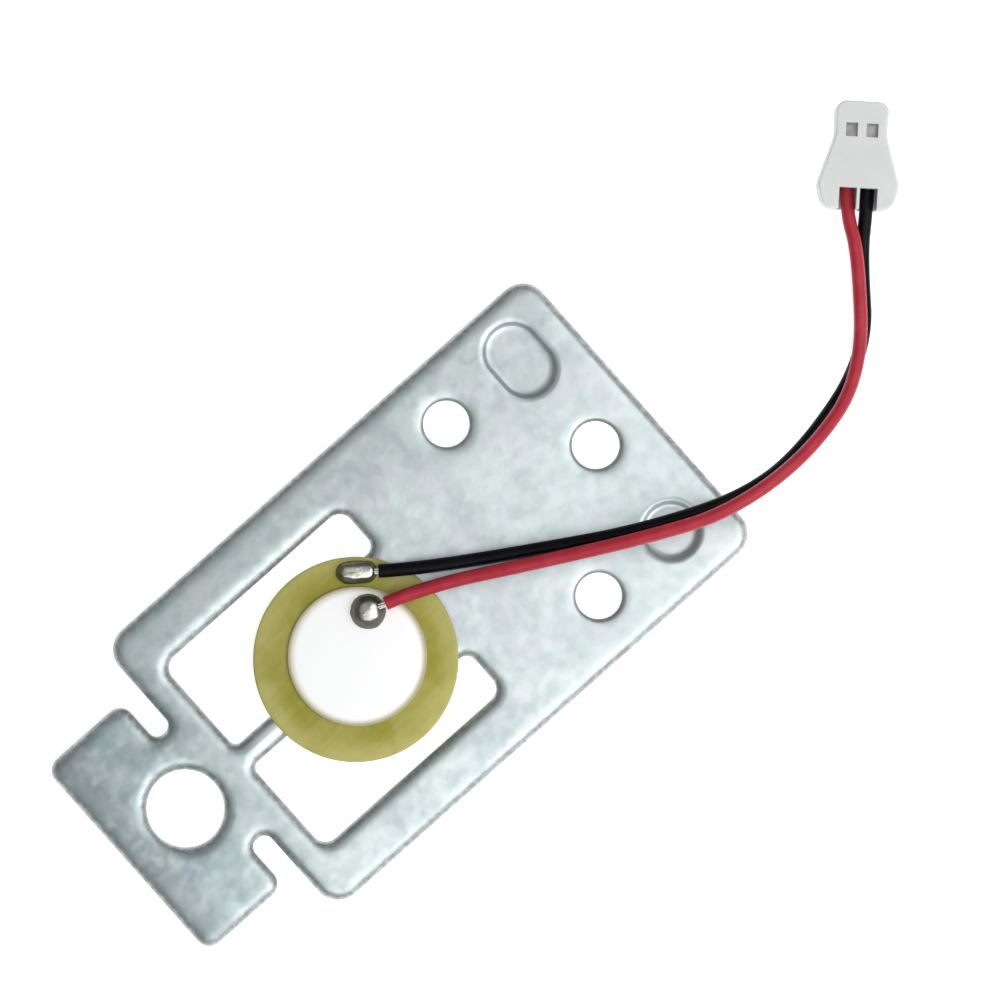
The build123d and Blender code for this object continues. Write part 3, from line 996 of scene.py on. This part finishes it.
    def soften_bottom(self, plate):
        """Take the sharpness off the rims of the two bosses."""
        low = PLATE_LOW.z
        if choose_edges(plate, lambda a, b: abs(a.z - low) < CLOSE and abs(b.z - low) < CLOSE):
            bpy.ops.mesh.bevel(offset=BOSS_EDGE, segments=2, affect="EDGES")
        leave_edit()

    def prove(self, plate):
        """Stop if a cut left the plate open or a recess without its floor."""
        mesh = bmesh.new()
        mesh.from_mesh(plate.data)
        open_edges = sum(not edge.is_manifold for edge in mesh.edges)
        deep = PLATE_TOP - RECESS_DEPTH + 0.01 * MM
        floors = [face.calc_center_median() for face in mesh.faces
                  if face.normal.z > 0.999 and face.calc_center_median().z < deep]
        mesh.free()
        if open_edges or not all(any(side * floor.y > 0 for floor in floors) for side in (-1, 1)):
            raise RuntimeError("the plate isn't whole")


# ---- piezo disc ----
def punched_disc(node, centre, steps):
    """A disc in the place of a solid, whose upper edge follows the steps, each inwards and up
    in millimetres."""
    low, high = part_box(node)
    steps = [(0.0, 0.0)] + [(inwards * MM, up * MM) for inwards, up in steps]
    piece = rod(centre, (high.x - low.x) / 2, low.z, high.z - steps[-1][1], segments=128)
    choose_faces(piece, lambda c, n: n.z > 0.9)
    inset_steps(steps)
    leave_edit()
    return piece


class SENSOR_OT_disc(bpy.types.Operator):
    """Add the brass disc, the ceramic and its printed silver electrode"""
    bl_idname = "piezo_sensor.disc"
    bl_label = "Piezo disc"

    def execute(self, context):
        settings = context.scene.sensor_disc
        for name, slot, node, centre, material, steps in (
                ("brass_plate", "brass", "brass_disc", BRASS_CENTRE, brass_material,
                 [(0.01, 0.03), (0.04, 0.055), (0.10, 0.07), (0.22, 0.075)]),
                ("ceramic_plate", "ceramic", "ceramic_disc", CERAMIC_CENTRE, ceramic_material,
                 [(0.02, 0.04), (0.06, 0.06), (0.12, 0.065)]),
                ("printed_electrode", "silver", "silver_electrode", CERAMIC_CENTRE,
                 silver_material, [(0.10, 0.02), (0.25, 0.032), (0.55, 0.04)])):
            piece = shade(punched_disc(node, centre, steps))
            finish_piece(piece, name, material(settings), [node])
        film = frame["nodes"]["adhesive_film"]
        film.data.materials.clear()
        film.data.materials.append(adhesive_material())
        return {"FINISHED"}


# ---- solder ----
class SENSOR_OT_solder(bpy.types.Operator):
    """Add the two solder joints and the tinned strands that run into them"""
    bl_idname = "piezo_sensor.solder"
    bl_label = "Solder joints"

    def execute(self, context):
        solder = solder_material()
        tinned = strand_material()
        for colour_name, route in (("black", BLACK_ROUTE), ("red", RED_ROUTE)):
            start, after = Vector(route[0]) * MM, Vector(route[1]) * MM
            way = (after - start).normalized()
            self.joint(colour_name + "_joint", "solder_joint_" + colour_name, way, solder)
            self.strands(colour_name + "_conductor", start, way, tinned)
        return {"FINISHED"}

    def mound(self, height, waist, spread):
        """A round mound drawn up in steps: a thin foot, a steep side, a domed top."""
        clear_selection()
        bpy.ops.mesh.primitive_circle_add(vertices=48, radius=spread, fill_type="NGON",
                                          location=(0, 0, 0))
        piece = settle(bpy.context.object)
        choose_faces(piece)
        inset_steps([(spread * inwards * waist, height * up) for inwards, up in MOUND_STEPS])
        leave_edit()
        return piece

    def joint(self, name, node, way, solder):
        """Mould one joint to the footprint of its solid."""
        low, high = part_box(node)
        centre, height = (low + high) / 2, high.z - low.z
        half_len, half_width, waist, lean = JOINTS[node]
        piece = self.mound(height, waist, half_width)
        for vertex in piece.data.vertices:
            share = max(-1.0, min(1.0, vertex.co.x / (0.35 * half_width)))
            vertex.co.x += (half_len - half_width) * share
            vertex.co.x += lean * vertex.co.z / height
        piece.data.transform(Matrix.Translation((centre.x, centre.y, low.z))
                             @ Matrix.Rotation(math.atan2(way.y, way.x), 4, "Z"))
        apply_modifier(piece, "SUBSURF", levels=1, render_levels=1)
        texture = bpy.data.textures.new(name + "_lumps", "CLOUDS")
        texture.noise_scale = LUMP_SIZE
        texture.noise_depth = 1
        apply_modifier(piece, "DISPLACE", texture=texture, strength=LUMP_HEIGHT, mid_level=0.5,
                       texture_coords="GLOBAL")
        for vertex in piece.data.vertices:
            vertex.co.z = min(max(vertex.co.z, low.z), high.z)
        shade(piece, 60.0)
        finish_piece(piece, name, solder, [node])

    def strands(self, node, start, way, material):
        """Seven strands, one in the middle and six laid round it with a slow twist."""
        low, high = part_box(node)
        length = min((high - low).to_2d().length, STRAND_MAX)
        side = Vector((-way.y, way.x, 0))
        pieces = []
        for index in range(7):
            ring = 0.0 if index == 0 else 2 * STRAND_R

            def around(step):
                turn = index * math.pi / 3 + STRAND_TWIST * step / STRAND_STEPS
                return side * ring * math.cos(turn) + OVERHEAD * ring * math.sin(turn)

            clear_selection()
            bpy.ops.mesh.primitive_circle_add(vertices=10, radius=STRAND_R, fill_type="NGON")
            piece = bpy.context.object
            piece.rotation_mode = "QUATERNION"
            piece.rotation_quaternion = way.to_track_quat("Z", "Y")
            piece.location = start - way * (length - STRAND_BURIED) + around(0)
            settle(piece)
            choose_faces(piece)
            for step in range(STRAND_STEPS):
                extrude(way * (length / STRAND_STEPS) + around(step + 1) - around(step))
            face_outwards()
            pieces.append(piece)
        piece = shade(merge(pieces), 50.0)
        finish_piece(piece, node.replace("conductor", "strands"), material,
                     [node])


# ---- connector ----
class SENSOR_OT_housing(bpy.types.Operator):
    """Add the moulded two-way connector housing"""
    bl_idname = "piezo_sensor.housing"
    bl_label = "Connector housing"

    def execute(self, context):
        settings = context.scene.sensor_connector
        side = [Vector((station, half_width)) * MM for station, half_width, _ in HOUSING_SIDE]
        body = outline([(p.x, p.y, 0) for p in side] + [(p.x, -p.y, 0) for p in reversed(side)],
                       filled=True)
        choose_faces(body)
        extrude((0, 0, HOUSING_TOP))
        face_outwards()
        for station, half_width, radius in HOUSING_SIDE:
            round_corners(body, radius * MM, lambda p: abs(p.x - station * MM) < CLOSE
                          and abs(abs(p.y) - half_width * MM) < CLOSE, 8)
        self.hollow(body)
        tidy_mesh(body)
        self.soften(body, settings.edge)
        shade(body, 32.0)
        apply_modifier(body, "WEIGHTED_NORMAL", keep_sharp=True, weight=60)
        body.data.transform(CONNECTOR_FRAME)
        finish_piece(body, "nylon_housing", nylon_material(settings),
                     ["connector_housing"])
        return {"FINISHED"}

    def hollow(self, body):
        """Cut the cavities, the pin openings, the troughs and the two lance windows."""
        wall, above = HOUSING_LEN - FRONT_WALL, HOUSING_TOP + MM
        for side in (-0.5, 0.5):
            y = side * PITCH
            for start, end, half, low, high in (
                    (-MM, wall, CAVITY_HALF, CAVITY_Z - CAVITY_HALF, CAVITY_Z + CAVITY_HALF),
                    (wall - 0.2 * MM, HOUSING_LEN + MM, PIN_HALF, CAVITY_Z - PIN_HALF,
                     CAVITY_Z + PIN_HALF),
                    (-MM, TROUGH_LEN, CAVITY_HALF, CAVITY_Z, above),
                    (LANCE_STATION - LANCE_HALF_LEN, LANCE_STATION + LANCE_HALF_LEN,
                     LANCE_HALF_WIDTH, CAVITY_Z, above)):
                cut(body, block((start, y - half, low), (end, y + half, high)))

    def soften(self, body, radius):
        """Round the outer edges of the top and the bottom as the mould leaves them."""
        def outer(p, level):
            return abs(p.z - level) < CLOSE and (abs(p.y) > OPENINGS_HALF
                                                 or p.x > HOUSING_LEN - 0.2 * MM)
        for level in (HOUSING_TOP, 0.0):
            if choose_edges(body, lambda a, b: outer(a, level) and outer(b, level)):
                bpy.ops.mesh.bevel(offset=radius, segments=3, affect="EDGES")
            leave_edit()


class SENSOR_OT_terminals(bpy.types.Operator):
    """Add the two crimp terminals inside the housing"""
    bl_idname = "piezo_sensor.terminals"
    bl_label = "Crimp terminals"

    def execute(self, context):
        tin = tin_material(context.scene.sensor_connector)
        model = self.terminal()
        for colour_name, side in (("black", -0.5), ("red", 0.5)):
            piece = model.copy()
            piece.data = model.data.copy()
            bpy.context.scene.collection.objects.link(piece)
            piece.data.transform(CONNECTOR_FRAME
                                 @ Matrix.Translation((CRIMP_START, side * PITCH, CAVITY_Z)))
            finish_piece(piece, colour_name + "_terminal", tin,
                         ["crimp_terminal_" + colour_name])
        bpy.data.objects.remove(model)
        return {"FINISHED"}

    def sleeve(self, section, span, closed=False):
        """A folded strip: a section drawn along X from the start to the end of its span."""
        start, end = (station * MM for station in span)
        piece = outline([(start, y * MM, z * MM) for y, z in section], closed=closed)
        choose_edges(piece)
        extrude((end - start, 0, 0))
        face_outwards()
        return apply_modifier(piece, "SOLIDIFY", thickness=STRIP, offset=0.0,
                              use_even_offset=True)

    def terminal(self):
        """Insulation crimp, conductor crimp, neck and box socket, from one strip."""
        grip = [(GRIP_R * math.sin(a), GRIP_R * math.cos(a))
                for a in (math.radians(12 + k * 336 / 24) for k in range(25))]
        half = SOCKET_HALF
        socket = [(-half, half), (-half, -half), (half, -half), (half, half)]
        return shade(merge([self.sleeve(grip, GRIP_SPAN), self.sleeve(BARREL, BARREL_SPAN),
                            self.sleeve(TROUGH, TROUGH_SPAN),
                            self.sleeve(socket, SOCKET_SPAN, closed=True)]), 30.0)


class SENSOR_OT_lead_facts(bpy.types.Operator):
    bl_idname = "piezo_sensor.lead_facts"
    bl_label = "Lead lengths"

    def execute(self, context):
        find = bpy.data.objects.get
        for name, route, length, pieces in (
                ("black_lead", BLACK_ROUTE, BLACK_LENGTH, ["nylon_housing", "black_terminal"]),
                ("red_lead", RED_ROUTE, RED_LENGTH, ["red_terminal"])):
            find(name)
            [find(piece) for piece in pieces]
        return {"FINISHED"}


# ---- studio ----
class SENSOR_OT_camera(bpy.types.Operator):
    """Add the camera above the part"""
    bl_idname = "piezo_sensor.camera"
    bl_label = "Camera"

    def execute(self, context):
        settings = context.scene.sensor_studio
        data = bpy.data.cameras.new("camera")
        camera = bpy.data.objects.new("camera", data)
        context.scene.collection.objects.link(camera)
        data.sensor_width = SENSOR_WIDTH
        data.lens = SENSOR_WIDTH * settings.view_distance / settings.view_width
        data.clip_start = 0.01
        data.clip_end = 20.0
        lean = Vector((-math.sin(settings.view_tilt), 0, math.cos(settings.view_tilt)))
        side = UP.cross(lean).normalized()
        turn = Matrix((side, lean.cross(side), lean)).transposed()
        camera.matrix_world = Matrix.Translation(
            VIEW_CENTRE + lean * settings.view_distance) @ turn.to_4x4()
        context.scene.camera = camera
        return {"FINISHED"}


class SENSOR_OT_stage(bpy.types.Operator):
    """Add the floor, the room light and the softboxes"""
    bl_idname = "piezo_sensor.stage"
    bl_label = "Floor and lights"

    def execute(self, context):
        settings = context.scene.sensor_studio
        clear_selection()
        bpy.ops.mesh.primitive_plane_add(size=FLOOR_SIZE, location=FLOOR_PLACE)
        floor = settle(bpy.context.object)
        floor.name = "floor"
        recipe = Recipe("floor_paper", Specular_IOR_Level=0.1, Roughness=0.9,
                        Emission_Color=(1, 1, 1, 1), Emission_Strength=0.6)
        recipe.base(recipe.ramp(recipe.noise(40.0, 2.0), 0.3, 0.7), settings.floor,
                    scaled(settings.floor, 0.99))
        floor.data.materials.append(recipe.material)
        self.room(context.scene, settings)
        self.softbox("panel_light", PANEL_PLACE, PANEL_SIZE, settings.panel_glow, OVERHEAD)
        self.softbox("key_light", KEY_PLACE, KEY_SIZE, settings.key_glow, KEY_PLACE)
        context.scene.view_settings.view_transform = "Standard"
        return {"FINISHED"}

    def softbox(self, name, place, size, glow, back):
        """A square light of the given brightness that shines away from its back."""
        back = back.normalized()
        across = back.cross(BRIGHT).normalized()
        turn = Matrix((across.cross(back), across, back)).transposed()
        data = bpy.data.lights.new(name, "AREA")
        data.shape = "SQUARE"
        data.size = size
        data.energy = glow * math.pi * size * size
        light = bpy.data.objects.new(name, data)
        bpy.context.scene.collection.objects.link(light)
        light.location = VIEW_CENTRE + place
        light.rotation_mode = "QUATERNION"
        light.rotation_quaternion = turn.to_quaternion()
        light.visible_camera = False

    def room(self, scene, settings):
        """Soft light from all round, brighter above and to one side, darker at the horizon."""
        world = bpy.data.worlds.new("room")
        world.use_nodes = True
        scene.world = world
        nodes = Nodes(world.node_tree)
        around = nodes.add("TexCoord").outputs["Generated"]
        height = nodes.ramp(nodes.axis(around, "Z"), 0.05, 0.65, 0.42, 1.0)
        side = nodes.ramp(nodes.vector("DOT_PRODUCT", around, BRIGHT), -0.9, 0.9, 0.62, 1.45)
        nodes.feed(nodes.tree.nodes["Background"], Color=(0.98, 0.99, 1.0, 1.0),
                   Strength=nodes.times(height, side, settings.sky))


class SENSOR_PT_panel(bpy.types.Panel):
    bl_label = "Piezo sensor"
    bl_idname = "SENSOR_PT_panel"
    bl_space_type = "VIEW_3D"
    bl_region_type = "UI"
    bl_category = "Piezo sensor"

    def draw(self, context):
        layout = self.layout
        for group in SETTINGS:
            box = layout.box()
            settings = getattr(context.scene, group)
            for name in settings.bl_rna.properties.keys():
                if name not in ("rna_type", "name"):
                    box.prop(settings, name)
        for operator in OPERATORS:
            layout.operator(operator.bl_idname)


SETTINGS = {
    "sensor_plate": PlateSettings,
    "sensor_disc": DiscSettings,
    "sensor_leads": LeadSettings,
    "sensor_connector": ConnectorSettings,
    "sensor_studio": StudioSettings,
}
OPERATORS = (SENSOR_OT_camera, SENSOR_OT_leads, SENSOR_OT_plate, SENSOR_OT_disc,
             SENSOR_OT_solder, SENSOR_OT_housing, SENSOR_OT_terminals, SENSOR_OT_lead_facts,
             SENSOR_OT_stage)


def register():
    for name, group in SETTINGS.items():
        bpy.utils.register_class(group)
        setattr(bpy.types.Scene, name, bpy.props.PointerProperty(type=group))
    for kind in (*OPERATORS, SENSOR_PT_panel):
        bpy.utils.register_class(kind)


def unregister():
    for kind in (SENSOR_PT_panel, *reversed(OPERATORS)):
        bpy.utils.unregister_class(kind)
    for name, group in SETTINGS.items():
        delattr(bpy.types.Scene, name)
        bpy.utils.unregister_class(group)


def main():
    register()
    bpy.ops.piezo_sensor.camera()
    bpy.ops.piezo_sensor.leads()
    bpy.ops.piezo_sensor.plate()
    bpy.ops.piezo_sensor.disc()
    bpy.ops.piezo_sensor.solder()
    bpy.ops.piezo_sensor.housing()
    bpy.ops.piezo_sensor.terminals()
    bpy.ops.piezo_sensor.lead_facts()
    bpy.ops.piezo_sensor.stage()


if __name__ == "__main__":
    main()
